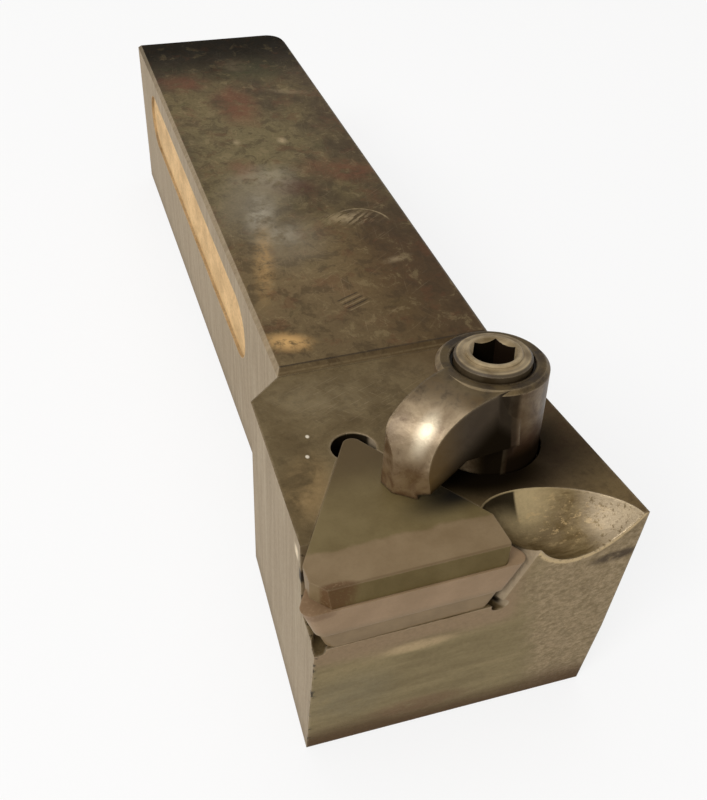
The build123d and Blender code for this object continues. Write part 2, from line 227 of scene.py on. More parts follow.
class Surface(Tree):
    """One material, with the place and the facing of each point."""

    def __init__(self, name):
        self.material = bpy.data.materials.new(name)
        self.material.use_nodes = True
        super().__init__(self.material.node_tree)
        place, facing = self.node("ShaderNodeTexCoord", output=("Object", "Normal"))
        self.mm = place * MM
        self.x, self.y, self.z = self.split(self.mm)
        self.nx, self.ny, self.nz = self.split(facing)
        # the head's own frame: back from the cutting edge, and up from its sloping plane
        back, rise = self.y - edge_y, self.z - edge_z
        self.hy = back * math.cos(rake) - rise * math.sin(rake)
        self.hz = back * math.sin(rake) + rise * math.cos(rake)
        self.axial = distance(self.x - clamp_x, self.hy - clamp_back)


print("a surface has mm, x, y, z, nx, ny, nz, hy, hz and axial, the distance from the clamp's axis")

# %% [markdown]
# ## Noise, patches and scratches
# Rust and rubbed steel have blotches of many sizes, and scratches are the same thing drawn out in
# one direction. Both could come from scanned textures. Noise needs no file, and its size is given
# in millimetres. A patch that has to lie in one place is a soft ellipse, roughened by noise.

# %% noise and patches


def noise(g, size, detail=4.0, rough=0.55, stretch=(1, 1, 1), shift=0.0, warp=0.0):
    """Noise from 0 to 1 whose blotches are about `size` millimetres across."""
    where = g.mm * tuple(1.0 / (size * s) for s in stretch) + shift
    return g.node("ShaderNodeTexNoise", {"noise_dimensions": "3D"}, {
        "Vector": where, "Scale": 1.0, "Detail": detail, "Roughness": rough, "Distortion": warp},
        output="Fac")


def blob(g, x, y, rx, ry, soft=0.35, turn=0.0, share=1.0):
    """Soft ellipse seen from above: `share` inside, 0 outside, and turned by some degrees."""
    u, v = turned(g.x - x, g.y - y, turn)
    shape = distance(u / rx, v / ry).step(1.0 + soft, 1.0 - soft)
    return shape if share == 1.0 else shape * share


def strongest(*masks):
    """The strongest of several masks."""
    result = masks[0]
    for mask in masks[1:]:
        result = result.most(mask)
    return result


print("helpers:", [helper.__name__ for helper in (turned, distance, noise, blob, strongest)])

# %% scratches and worn edges
BEVEL_SAMPLES = 6    # rays with which a Bevel node feels for edges


def scratches(g, angle, width, length, shift=0.0, bite=0.66):
    """Fine straight marks seen from above, at an angle to the x axis."""
    along, across = turned(g.x, g.y, angle)
    where = g.node("ShaderNodeCombineXYZ", None, {
        "X": along / length + shift, "Y": across / width, "Z": g.z / width})
    lines = g.node("ShaderNodeTexNoise", {"noise_dimensions": "3D"}, {
        "Vector": where, "Scale": 1.0, "Detail": 2.0, "Roughness": 0.5}, output="Fac")
    return lines.step(bite, bite + 0.05)


def rounded(g, radius):
    """Normal of the surface as if its edges were rounded; the radius is in millimetres."""
    return g.node("ShaderNodeBevel", {"samples": BEVEL_SAMPLES}, {"Radius": radius / MM})


def edges(g, width):
    """Above 0 on edges and in creases, 0 on flats; the width is in millimetres."""
    true = g.node("ShaderNodeNewGeometry", output="True Normal")
    return 1.0 - g.node("ShaderNodeVectorMath", {"operation": "DOT_PRODUCT"},
                        {0: rounded(g, width), 1: true}, output="Value")


print("helpers:", [helper.__name__ for helper in (scratches, rounded, edges)])

# %% [markdown]
# ## Colour, gloss, soot and painted shade
# Most faces are steel under a thin dull skin. Hollows, creases and shadowed places are painted
# with a matt black that gives back no light at all: it is painted shade there, and soot on a few
# stained faces. A darker base colour alone could stand for it, but its gloss would still mirror the
# white surroundings. So one shader carries the steel, a matt one carries the painted shade and
# soot, and a mask mixes them. Rounded normals and a shallow bump take the newness off every edge
# and face.

# %% the closing shader of a surface
SOOT_AND_SHADE = (0.006, 0.004, 0.002, 1.0)


def rgb(red, green, blue):
    """Linear colour, with its alpha, of an 8-bit screen colour."""
    shares = [value / 255 for value in (red, green, blue)]
    linear = [s / 12.92 if s < 0.04045 else ((s + 0.055) / 1.055) ** 2.4 for s in shares]
    return (*linear, 1.0)


def finish(g, color, roughness, metallic, relief, depth, rounding, gloss=0.5, soot=None):
    """Steel with a relief `depth` deep and edges rounded by `rounding`, both in millimetres."""
    normal = g.node("ShaderNodeBump", None, {
        "Height": relief, "Strength": 1.0, "Distance": depth / MM, "Normal": rounded(g, rounding)})
    shader = g.node("ShaderNodeBsdfPrincipled", None, {
        "Base Color": color, "Roughness": roughness, "Metallic": metallic,
        "Specular IOR Level": gloss, "Normal": normal})
    # the matt black mixed in here is painted shade, and soot where a face is stained
    if soot is not None:
        matt = g.node("ShaderNodeBsdfPrincipled", None, {
            "Base Color": SOOT_AND_SHADE, "Roughness": 1.0, "Specular IOR Level": 0.0})
        shader = g.node("ShaderNodeMixShader", None, {0: soot, 1: shader, 2: matt})
    g.node("ShaderNodeOutputMaterial", None, {"Surface": shader})
    return g.material


def dress(name, material):
    """Give a node its one material."""
    slots = nodes[name].data.materials
    slots.clear()
    slots.append(material)
    print(name, "wears", material.name, "with", len(material.node_tree.nodes), "shader nodes")


print("soot is", SOOT_AND_SHADE[:3], "and mid grey is", round(rgb(128, 128, 128)[0], 3))

# %% [markdown]
# ## Holder body: fields of noise
# The holder is one piece of steel with five kinds of face: oxidised top, ground offset side, bare
# marking area, stained front and scooped clearance. Each could have its own material, but a soft
# change from one to the next needs them in one. They share five fields of noise, from clouds 16 mm
# across to grains of a fifth of a millimetre, so rust, dirt and rubbing break up along the same lines.

# %% noise fields of the holder
g = Surface("holder_steel")
broad = noise(g, 16, 5, 0.6, (1, 1.4, 1), shift=3.1)
patch = noise(g, 6, 6, 0.65, (1, 1.3, 1), shift=9.7, warp=0.4)
small = noise(g, 2.2, 5, 0.65, shift=4.2, warp=0.3)
grain = noise(g, 0.55, 4, 0.7, shift=1.3)
fine = noise(g, 0.22, 2, 0.6)
print("holder: place, facing and five noise fields,", g.added(), "nodes")

# %% [markdown]
# ### Oxide on the shank's top
# The top is a dark olive-brown oxide with rust, green tarnish and paler mottling. One noise could
# blend two browns, but real oxide is several thin films over each other. Each film here is a
# colour with its own field of noise, painted over the last.

# %% oxide films
olive, dark_oxide = rgb(92, 79, 50), rgb(56, 43, 22)
rust, tarnish = rgb(92, 54, 34), rgb(60, 62, 28)
buff, umber = rgb(112, 96, 66), rgb(38, 30, 14)

top = g.paint(
    g.mix(broad.step(0.36, 0.60), dark_oxide, olive),
    (patch.step(0.54, 0.72) * 0.65, rust),
    (noise(g, 8, 4, 0.6, shift=21.0).step(0.57, 0.70) * 0.55, tarnish),
    (small.step(0.46, 0.70) * 0.35, buff),
    (grain.step(0.5, 0.72) * 0.35, umber))
print("oxide films:", g.added(), "nodes")

# %% [markdown]
# ### Light and dark along the shank
# The middle of the shank is lighter, the plain side is browner with painted shade over it and
# towards the step, and the far end is nearly black. A painted gradient could do it, but it would
# look airbrushed, so each boundary along x or y is shifted or thinned by the noise.

# %% brown half, light middle and dark end
brown = g.mix(g.x.step(-6.0, 8.0), rgb(108, 90, 62), rgb(80, 59, 32))
brown_half = g.y.step(-14.0, -34.0) * (0.45 + 0.5 * patch)
light_middle = blob(g, -4.0, 3.0, 12.0, 17.0, 0.9, share=0.55) * (0.5 + small)
# painted shade over the plain side and towards the step
plain_edge = g.x.step(1.0, 14.0) * 0.6 * g.y.step(-6.0, -26.0)
clamp_corner = g.x.step(6.0, 15.0) * 0.5 * g.y.step(-60.0, -50.0)
near_step = g.y.step(-38.0, -52.0) * 0.25
shade = strongest(plain_edge, clamp_corner, near_step) * (0.6 + 0.7 * broad)
# darker towards the far end; part of this also takes the matt black
far_end = (g.y + (broad - 0.5) * 26.0 + (patch - 0.5) * 8.0).step(29.0, 52.0)
far_soot = far_end * 0.7

top = g.paint(
    top,
    (brown_half, brown),
    (light_middle, rgb(108, 97, 68)),
    (shade, rgb(46, 31, 16)),
    (far_end * 0.96, rgb(20, 18, 9)))
print("light and dark:", g.added(), "nodes")

# %% [markdown]
# ### Mottling and single patches of rust
# A few patches stand out on the real bar, such as rust spots and one pale wiped place. Random noise
# would put them anywhere. They are ellipses at chosen places, and the same noise that mottles the
# oxide eats into their edges, so that they don't read as ellipses.

# %% mottling
mottle = noise(g, 3.2, 6, 0.72, (1, 1.2, 1), shift=17.0, warp=0.5)
red_tint = noise(g, 4.5, 5, 0.7, shift=33.0).step(0.54, 0.64)
top = g.paint(
    top,
    (blob(g, 5.0, 38.0, 5.0, 4.5, 0.9, share=0.5), rgb(38, 44, 18)),
    (mottle.step(0.50, 0.60) * 0.5, rgb(48, 35, 16)),
    (mottle.step(0.45, 0.36) * 0.35, rgb(128, 112, 80)),
    (red_tint * 0.35, rgb(84, 52, 30)))
print("mottling:", g.added(), "nodes")

# %% single patches
ragged = (0.5 * patch + 0.5 * small).step(0.36, 0.54)
rust_patches = [
    # x, y, radius along x, radius along y, turn, share
    (-10.0, 34.5, 4.0, 3.4, 0, 0.715),
    (-2.4, 22.0, 3.6, 6.5, 0, 0.78),
    (10.2, -7.0, 6.5, 3.2, -20, 0.65),
    (-7.0, -2.5, 2.2, 3.0, 0, 0.65),
]
for x, y, rx, ry, turn, share in rust_patches:
    top = g.mix(blob(g, x, y, rx, ry, 0.7, turn, share) * ragged, top, rgb(94, 56, 36))
dark_rust = blob(g, -0.8, -10.2, 4.6, 2.6, 0.6, -15, 0.9) * small.step(0.32, 0.5)
wiped = blob(g, -5.0, -8.0, 4.6, 5.0, 0.9, share=0.5) * small.step(0.3, 0.6)
top = g.paint(top, (dark_rust, rgb(62, 36, 22)), (wiped, rgb(146, 134, 108)))
print("single patches:", len(rust_patches) + 2, "and", g.added(), "nodes")

# %% [markdown]
# ### Rubbed places
# Where the bar has slid in its block, the oxide has worn through to cold grey steel, with a few
# golden flecks at the rim of the wear. Metal could be shown there by raising Metallic, but dull
# rubbed steel hardly mirrors anything, so these are paler colours broken up by the finest noise.

# %% grey rubs and golden flecks
cold = strongest(
    blob(g, -8.6, -15.0, 5.0, 8.5, 0.9, -14),
    blob(g, -6.0, -26.0, 5.0, 6.5, 0.9, share=0.8)) * patch.step(0.2, 0.55)
rubbed = strongest(
    blob(g, -7.9, -17.8, 1.9, 4.6, 0.9, -16),
    blob(g, -6.5, -24.5, 3.4, 2.6, 0.9, share=0.6),
    blob(g, -2.5, -6.0, 3.6, 3.0, 0.9, share=0.35))
rubbed = rubbed * small.step(0.32, 0.62) * (0.55 + 0.9 * (grain - 0.3))
flecks = (0.35 * small + 0.65 * grain).step(0.36, 0.60)
golden = strongest(
    blob(g, -10.9, -31.5, 1.2, 8.0, 0.9, -14, 0.45) * flecks,
    blob(g, -12.6, -51.2, 2.6, 1.5, 0.9, -24, 0.8) * (small.step(0.36, 0.54) + 0.3 * flecks))
top = g.paint(
    top,
    (cold * 0.65, rgb(116, 107, 90)),
    (rubbed * 0.85, rgb(164, 156, 138)),
    (golden, rgb(190, 152, 98)))
print("rubbed places:", g.added(), "nodes")

# %% [markdown]
# ### Small marks on the top
# Something round has left part of a ring on the top, and there are pale nicks, hair scratches and
# three short ticks side by side. They could be cut into the solid, but none is deep enough to
# catch the light, so they are thin masks: a distance from a centre, ellipses, stretched noise, and
# a sine wave inside a small turned box.

# %% ring mark and pale nicks
RING_X, RING_Y, RING_INNER, RING_OUTER = 7.06, -25.1, 5.14, 5.34

ring_mark = distance(g.x - RING_X, g.y - RING_Y).within(RING_INNER, RING_OUTER, 0.16)
ring_mark = ring_mark * g.y.step(-25.0, -22.4) * g.x.step(3.0, 7.0) * 0.9
scuff = blob(g, 6.0, -22.4, 3.6, 1.5, 0.95, -8, 0.6) * scratches(g, 35, 0.5, 4.0, 3.3, 0.45)
pale_nicks = [
    # x, y, radius along x, radius along y, softness, turn, share
    (9.4, -35.6, 1.9, 0.6, 0.95, 12, 0.45),
    (9.2, 26.4, 3.4, 0.9, 0.95, -20, 0.3),
    (1.7, 41.0, 2.4, 2.6, 0.95, -30, 0.3),
    (2.5, 6.4, 0.7, 0.9, 0.9, 0, 0.8),
    (-5.8, 7.6, 0.5, 0.8, 0.9, 0, 0.5),
]
pale_marks = strongest(ring_mark, scuff, *(blob(g, *nick) for nick in pale_nicks))
pale_marks = pale_marks * (0.5 * grain + 0.5 * small).step(0.34, 0.58) * 0.8
top = g.mix(pale_marks, top, rgb(178, 158, 124))
print("ring mark and", len(pale_nicks), "nicks:", g.added(), "nodes")

# %% hair scratches and three ticks
TICKS_X, TICKS_Y, TICKS_TURN = -0.75, -44.5, 22.0589
TICK_REACH, TICK_BAND, TICK_WAVES = 1.9, 1.75, 5.6   # half length, half width and waves

hairs = strongest(scratches(g, 35, 0.22, 7.0), scratches(g, -62, 0.2, 8.0, 5.3),
                  scratches(g, 80, 0.25, 9.0, 9.1))
along_ticks, across_ticks = turned(g.x - TICKS_X, g.y - TICKS_Y, TICKS_TURN)
ticks = along_ticks.within(-TICK_REACH, TICK_REACH, 0.3)
ticks = ticks * across_ticks.within(-TICK_BAND, TICK_BAND, 0.1) * grain.step(0.2, 0.5)
wave = (across_ticks * TICK_WAVES).sine()
top = g.paint(
    top,
    (hairs * 0.14 * patch.step(0.35, 0.6), rgb(160, 142, 112)),
    (ticks * wave.step(0.55, 0.95) * 0.7, rgb(30, 22, 12)),
    (ticks * wave.step(-0.6, -0.95) * 0.3, rgb(150, 132, 100)))
print("hair scratches and ticks:", g.added(), "nodes")

# %% [markdown]
# ### Sloping top of the head
# The head's top is greyer than the shank, scratched near the shoulder and browner towards the
# plain side. The clamp's shadow beside it is painted into the steel's colour, soft and wide, with
# a matt black core.

# %% head oxide
head = g.paint(
    g.mix(patch.step(0.35, 0.68), rgb(88, 73, 47), rgb(108, 93, 65)),
    (g.x.step(-6, 10) * 0.6, rgb(76, 56, 30)),
    (blob(g, 14.5, -88.0, 4.0, 6.0, 0.9, 20, 0.5), rgb(116, 98, 64)),
    (small.step(0.5, 0.62) * 0.3, rgb(56, 42, 20)))
print("head oxide:", g.added(), "nodes")

# %% head stains, scratches and the clamp's painted shadow
pale_shoulder = blob(g, -12.0, -63.5, 5.5, 3.6, 0.9, -10)
pale_shoulder = pale_shoulder * (0.5 * patch + 0.5 * grain).step(0.38, 0.60)
head_lines = strongest(scratches(g, 25, 0.2, 6.0, 2.0, 0.62),
                       scratches(g, -50, 0.18, 6.0, 7.0, 0.64))
head_lines = head_lines * 0.22 * blob(g, -8.0, -65.0, 9.0, 6.0, 0.9)
tan_stain = blob(g, -18.4, -80.0, 2.4, 4.6, 0.8, -18, 0.6) * patch.step(0.32, 0.56)
head_rust = blob(g, 11.0, -76.5, 4.5, 6.0, 0.9, share=0.5) * small.step(0.42, 0.62)
# painted shadow of the clamp on the head's top: a soft wide tone, and a darker part that also takes
# the matt black
painted_clamp_shadow_wide = blob(g, 6.5, -82.5, 11.5, 6.0, 0.7, -10, 0.7)
specks = strongest(blob(g, -15.75, -70.7, 0.22, 0.3, 0.4),
                   blob(g, -16.85, -74.4, 0.22, 0.3, 0.4))
clamp_soot = strongest(
    blob(g, 2.0, -84.0, 8.5, 3.9, 0.6, -6),
    blob(g, 9.5, -80.5, 7.0, 5.5, 0.9, -12, 0.78)) * g.hz.step(HEAD_TOP - 0.15, HEAD_TOP - 0.05)
head = g.paint(
    head,
    (pale_shoulder * 0.3, rgb(142, 128, 100)),
    (head_lines, rgb(150, 134, 106)),
    (tan_stain, rgb(150, 124, 84)),
    (head_rust, rgb(92, 56, 40)),
    (painted_clamp_shadow_wide, rgb(40, 28, 14)),
    (specks, rgb(214, 204, 184)))
print("head stains and soot:", g.added(), "nodes")

# %% [markdown]
# ### The ramp between shank and head
# A short milled ramp joins the two heights. It is a little darker, with dark lines along its top and
# bottom, and its middle is rubbed. The solid has the ramp already, so only three narrow bands
# along y are needed, and one mask there hands over from the shank's colours to the head's.

# %% join shank and head
RAMP_HEAD, RAMP_SHANK = -57.275, -56.075   # y of the ramp's foot and of its top

on_head = g.y.step(-57.0, -57.4)
top_line = g.y.within(RAMP_SHANK - 0.075, RAMP_SHANK + 0.225, 0.08)
foot_line = g.y.within(RAMP_HEAD - 0.175, RAMP_HEAD + 0.025, 0.08) * 0.5
ramp_rub = g.y.within(-57.0, -56.75, 0.1) * grain.step(0.3, 0.6) * 0.3
top = g.paint(
    g.mix(on_head, top * 1.1, head),
    (g.y.within(-57.2, -56.1, 0.1) * 0.35, rgb(60, 46, 26)),
    (strongest(top_line, foot_line) * patch.step(0.2, 0.5) * 0.8, rgb(34, 24, 12)),
    (ramp_rub, rgb(136, 118, 86)))
# matt black on the top: the clamp's painted shadow on the head, and the darker far end of the shank
top_soot = strongest(far_soot * (1.0 - on_head), clamp_soot * on_head) * g.nz.step(0.5, 0.9)
print("ramp:", g.added(), "nodes")

# %% [markdown]
# ### Plain side, end and underside
# These faces lie against the tool block. They are plain brown steel with grinding marks along the
# bar and a little rust. Choosing them by selecting faces would leave hard borders, so the surface
# normal chooses them: upward faces take the top's colours, and all the others start out plain.

# %% plain faces
plain = g.paint(
    g.mix(broad.step(0.35, 0.65), rgb(92, 78, 54), rgb(120, 104, 78)),
    (patch.step(0.6, 0.75) * 0.5, rgb(96, 64, 42)),
    (noise(g, 0.5, 3, 0.6, (1, 30, 1), shift=11.0).step(0.35, 0.65) * 0.3, rgb(128, 112, 86)))
color = g.mix(g.nz.step(0.25, 0.75), plain, top)
print("plain faces:", g.added(), "nodes")

# %% [markdown]
# ### Offset side
# The offset side is ground and is the palest face, with streaks that run up and down. Brushed
# metal is often done with an anisotropic shader, but this face is too dull for that. Noise that is
# stretched 24 times along z gives the same streaks as colour, from every angle.

# %% ground streaks
streaks = noise(g, 0.8, 3, 0.6, (1, 1, 24), shift=5.0)
wide_streaks = noise(g, 3.2, 3, 0.6, (1, 1, 9), shift=15.0)
side = g.paint(
    g.mix(streaks.step(0.32, 0.68), rgb(142, 126, 102), rgb(158, 142, 118)),
    (wide_streaks.step(0.48, 0.74) * 0.35, rgb(174, 160, 136)),
    (g.y.step(-70.0, -84.0) * streaks.step(0.55, 0.7) * 0.5, rgb(120, 104, 80)),
    (g.z.step(5.0, 0.0) * 0.5, rgb(112, 96, 72)))
print("offset side:", g.added(), "nodes")

# %% [markdown]
# ### Bare marking area
# A shallow slot with round ends is milled into the offset side, and its fresh floor has aged to a
# golden tan. The floor could be picked as one face of the mesh. A distance from the slot's middle
# line, the same at its straight sides and its round ends, gives the floor too, and the rim along its
# upper edge, where shade is painted darker.

# %% marking area
SLOT_Y, SLOT_Z = 2.675, 22.0               # its middle
SLOT_STRAIGHT, SLOT_RADIUS = 35.5, 5.5     # half of its straight length, and its end's radius

tan = g.paint(
    g.mix(patch.step(0.34, 0.66), rgb(192, 158, 110), rgb(220, 184, 132)),
    (grain.step(0.5, 0.7) * 0.3, rgb(150, 116, 74)))
from_middle = distance((g.z - SLOT_Z) / SLOT_RADIUS,
                       (abs(g.y - SLOT_Y) - SLOT_STRAIGHT).most(0.0) / SLOT_RADIUS)
slot = from_middle.step(1.04, 0.99)
# painted shade along the upper edge of the slot
slot_rim = from_middle.within(0.94, 1.03, 0.03) * g.z.step(21.0, 24.0)
side = g.paint(
    side,
    (slot, tan),
    (slot_rim * 0.45 * patch.step(0.3, 0.6), rgb(110, 88, 56)))
slot_walls = slot * g.x.step(-14.9, -15.2) * g.nx.step(-0.8, -0.5)
color = g.paint(color, (g.nx.step(-0.45, -0.85), side), (slot_walls, tan * 0.8))
print("marking area:", g.added(), "nodes")

# %% [markdown]
# ### Front face
# Below the insert the front has a pinkish band, then grey-green steel, then a brown foot. The half
# towards the plain side is pitted and scratched. Two clean halves would look pasted together, so the
# border between them wanders with the noise and leans outwards as it goes down.

# %% clean half and pinkish band
haze = noise(g, 5.0, 4, 0.6, (2.2, 1, 0.5), shift=3.7)
pink_band = (g.z + g.x * 0.02 + (haze - 0.5) * 4.0).step(19.5, 22.5) * g.x.step(4.0, 1.0)
front = g.paint(
    g.mix(haze.step(0.3, 0.7), rgb(112, 98, 66), rgb(132, 117, 83)),
    (pink_band * 0.85, rgb(134, 112, 86)))
print("clean half:", g.added(), "nodes")

# %% pitted half and foot
pits = noise(g, 0.7, 6, 0.75, (1.2, 1, 0.9), shift=8.0)
slants = noise(g, 0.5, 3, 0.6, (0.45, 1, 3.0), shift=2.0, warp=0.8).step(0.6, 0.7)
pitted = g.paint(
    g.mix(pits.step(0.34, 0.66), rgb(116, 99, 70), rgb(156, 137, 107)),
    (patch.step(0.4, 0.7) * 0.3, rgb(92, 76, 48)),
    (slants * 0.4, rgb(160, 144, 116)))
pitted_half = (g.x + (patch - 0.5) * 8.0 - (24.0 - g.z).most(0.0) * 0.25).step(1.0, 5.0)
foot = (g.z + (broad - 0.5) * 5.0).step(6.5, 0.5)
front = g.paint(front, (pitted_half * 0.9, pitted), (foot * 0.9, rgb(76, 50, 16)))
print("pitted half and foot:", g.added(), "nodes")

# %% single stains on the front
front_stains = [
    # x, z, radius along x, radius along z, share, colour
    (-7.7, 4.6, 6.0, 1.8, 0.5, rgb(104, 74, 50)),
    (-9.6, 20.3, 4.0, 1.05, 0.85, rgb(168, 146, 110)),
    (14.4, 28.6, 3.2, 0.9, 0.9, rgb(54, 39, 20)),
    (-17.0, 12.0, 5.0, 5.0, 0.35, rgb(112, 104, 82)),
]
for x, z, rx, rz, share, stain in front_stains:
    spot = distance((g.x - x) / rx, (g.z - z) / rz).step(1.5, 0.5) * small.step(0.22, 0.5)
    front = g.mix(spot * share, front, stain)
on_front = g.ny.step(-0.75, -0.95) * g.y.step(-88.0, -91.0)
color = g.mix(on_front, color, front)
print("front stains:", len(front_stains), "and", g.added(), "nodes")

# %% [markdown]
# ### Scooped chip clearance
# Beside the insert a ground hollow lets the chips run off. The solid cuts it with an ellipsoid, so
# its surface is where the distance from that ellipsoid's centre, in radii, is 1. The same formula
# paints the hollow exactly as far as it goes, with no seam to line up by hand.

# %% distance from the scoop's centre
SCOOP_X, SCOOP_BACK, SCOOP_RISE = 7.425, 2.7, 11.35   # centre, in the head's own frame
SCOOP_RADII, SCOOP_TURN = (12.2, 6.5, 14.0), -24.6

across_scoop, back_scoop = turned(g.x - SCOOP_X, g.hy - SCOOP_BACK, SCOOP_TURN)
from_scoop = distance(across_scoop / SCOOP_RADII[0], back_scoop / SCOOP_RADII[1],
                      (g.hz - SCOOP_RISE) / SCOOP_RADII[2])
scoop = from_scoop.step(1.006, 1.003) * g.hy.step(-0.4, 0.2)
print("scoop:", g.added(), "nodes")

# %% torn metal and painted light in the scoop
tears = noise(g, 1.1, 5, 0.7, (5, 1, 1), shift=2.0)
# painted light: the scoop's right part, which faces the key lamp, is lighter
painted_light_right = strongest(blob(g, 14.0, -92.6, 2.6, 3.4, 0.8, 30),
                   blob(g, 8.6, -91.5, 4.0, 1.6, 0.8, -20, 0.6))
sparks = noise(g, 0.7, 5, 0.75, (1.8, 1, 1), shift=6.6).step(0.54, 0.64)
sparks = sparks * blob(g, 9.0, -91.2, 5.5, 2.0, 0.8, -16)
scoop_right_light = from_scoop.within(0.94, 1.01, 0.03) * g.x.step(10.0, 13.5) * grain.step(0.3, 0.5)
metal = g.paint(
    g.mix(tears.step(0.36, 0.64), rgb(86, 69, 40), rgb(114, 97, 66)),
    # painted light over the clamp's shadow on the scoop's left part
    (blob(g, 4.5, -88.6, 3.5, 2.2, 0.8, share=0.8), rgb(166, 148, 110)),
    (painted_light_right * small.step(0.35, 0.6) * 0.6, rgb(116, 102, 80)),
    (sparks * 0.6, rgb(176, 150, 106)),
    (scoop_right_light * 0.7, rgb(196, 178, 150)),
    (small.step(0.60, 0.72) * 0.25, rgb(84, 64, 38)))
lip = from_scoop.within(0.995, 1.045, 0.012) * on_front * g.x.step(1.5, 3.0)
color = g.paint(color, (scoop, metal), (lip * grain.step(0.34, 0.50) * 0.9, rgb(196, 172, 130)))
print("torn metal:", g.added(), "nodes")

# %% [markdown]
# ### Painted shade in the pocket walls and bores
# The walls behind the insert, the relief bore at its tip and the clamp's bore lie in deep shade.
# Deep narrow gaps go dark in a render by themselves, but the white surroundings still shine on
# their upper walls. So the shade is painted there with the matt black, chosen by height, place and
# facing.

# %% painted shade in the pocket and the bores
wall = g.nz.step(0.9, 0.6)
pocket_shade = g.hz.step(HEAD_TOP - 0.03, HEAD_TOP - 0.25) * g.y.step(-95.2, -94.4) * wall
pocket_shade = pocket_shade * g.nx.step(-0.95, -0.8) * g.hy.step(27.0, 26.5) * g.z.step(12.0, 13.0)
pocket_shade = g.x.within(-20.6, 4.0, 0.2) * pocket_shade * (1.0 - on_front)
clamp_bore_shade = g.axial.step(7.3, 6.95) * wall * g.hz.step(HEAD_TOP + 0.05, HEAD_TOP - 0.15)
soot = strongest(top_soot, pocket_shade * 0.95, clamp_bore_shade, foot * 0.15 * on_front)
print("pocket soot:", g.added(), "nodes")

# %% [markdown]
# ### Worn edges and nicks
# Edges are rubbed bright first, the front corner of the offset side is nicked, and a burr at the
# head's front top corner has a painted glint. Wear could be painted along each edge. A Bevel node
# finds every edge instead: where its rounded normal leaves the true one, there is an edge, and
# noise breaks the wear into dashes.

# %% worn edges
wear = edges(g, 0.6).step(0.02, 0.16) * grain.step(0.30, 0.55) * patch.step(0.32, 0.52)
# painted glint on a burr at the head's front top corner
burr_glint = blob(g, -21.8, -86.9, 0.5, 0.7, 0.8) * g.z.within(31.2, 32.6, 0.4)
nicks = noise(g, 1.2, 3, 0.6, shift=31.0).step(0.56, 0.64) * edges(g, 1.4).step(0.01, 0.08)
nicks = nicks * g.x.step(-20.5, -21.6) * g.y.step(-84.0, -88.0)
deep_nick = blob(g, -21.8, -88.9, 0.5, 0.7, 0.6) * g.z.within(29.0, 30.8, 0.4)
color = g.paint(
    color,
    (wear * 0.5 * (1.0 - clamp_soot), rgb(168, 150, 122)),
    (burr_glint * 0.9, rgb(226, 210, 182)),
    (strongest(nicks, deep_nick) * 0.9, rgb(22, 15, 8)))
color = g.mix(grain.step(0.35, 0.7) * 0.25, color, color * 0.5)
print("worn edges:", g.added(), "nodes")

# %% [markdown]
# ### Gloss and relief of the holder
# Oxide is dull, and the scoop and the worn edges are a little smoother and more metallic. One
# number for each would look like plastic, so roughness and metallic follow the masks that are
# already there. The relief is some hundredths of a millimetre, and deeper on the pitted half.

# %% finish the holder
rough = 0.60 - 0.14 * wear + 0.14 * (grain - 0.5) - 0.16 * scoop
metallic = 0.04 + 0.35 * wear + 0.25 * scoop
pitting = noise(g, 1.0, 5, 0.75, shift=8.0) * on_front * g.x.step(0.0, 5.0)
relief = fine * 0.35 + grain * 0.5 + small * 0.5 + pitting * 1.4 + tears * scoop * 1.8
dress("holder_body", finish(g, color, rough, metallic, relief, 0.06, 0.3, gloss=0.12, soot=soot))

# %% [markdown]
# ## Insert, shim and chipbreaker plate
# These are ground carbide, finer in grain than the steel, with a dull pinkish cast. One colour
# could serve all three, but they differ where chips have run over them. One function makes the
# carbide, and a second one, where it is given, adds that piece's own stains.

# %% carbide


def carbide(name, warm, cool, stains=None):
    """Ground carbide, cloudy between two colours, with a piece's own stains over it."""
    g = Surface(name)
    cloud = noise(g, 4.5, 4, 0.55, shift=2.2)
    grain = noise(g, 0.35, 3, 0.7, shift=7.7)
    grinding = noise(g, 0.25, 2, 0.5, (30, 1, 1), shift=4.4)
    color = g.mix(cloud.step(0.3, 0.7), cool, warm)
    if stains:
        color = stains(g, color, cloud, grain)
    wear = edges(g, 0.35).step(0.03, 0.2) * grain.step(0.25, 0.5)
    color = g.mix(wear * 0.14, color, rgb(170, 150, 122))
    color = g.mix(grain.step(0.4, 0.75) * 0.15, color, color * 0.6)
    rough = 0.55 - 0.1 * wear + 0.1 * (cloud - 0.5)
    relief = grain * 0.6 + grinding * 0.4
    return finish(g, color, rough, 0.05, relief, 0.012, 0.12, gloss=0.15)


dress("shim", carbide("shim_carbide", rgb(128, 108, 80), rgb(114, 95, 68)))

# %% [markdown]
# ### Stains on the insert
# The insert's upright face turns grey towards its foot, and its cutting corner is rusty brown. They
# could be laid out along z, but the insert slopes with the head. So both use the head's own frame,
# in which the cutting edge is level.

# %% insert


def insert_stains(g, color, cloud, grain):
    """A grey foot, and a rusty spot at the cutting corner."""
    foot = g.hz.step(-3.6, -4.8)
    u, v = (g.x + 22.5) / 2.6, (g.hz + 0.4) / 0.9
    corner = (u * u + v * v).step(1.3, 0.3) * grain.step(0.25, 0.5)
    return g.paint(color, (foot * 0.35, rgb(112, 100, 76)), (corner * 0.35, rgb(90, 58, 32)))


dress("insert", carbide("insert_carbide", rgb(146, 122, 95), rgb(134, 111, 84), insert_stains))
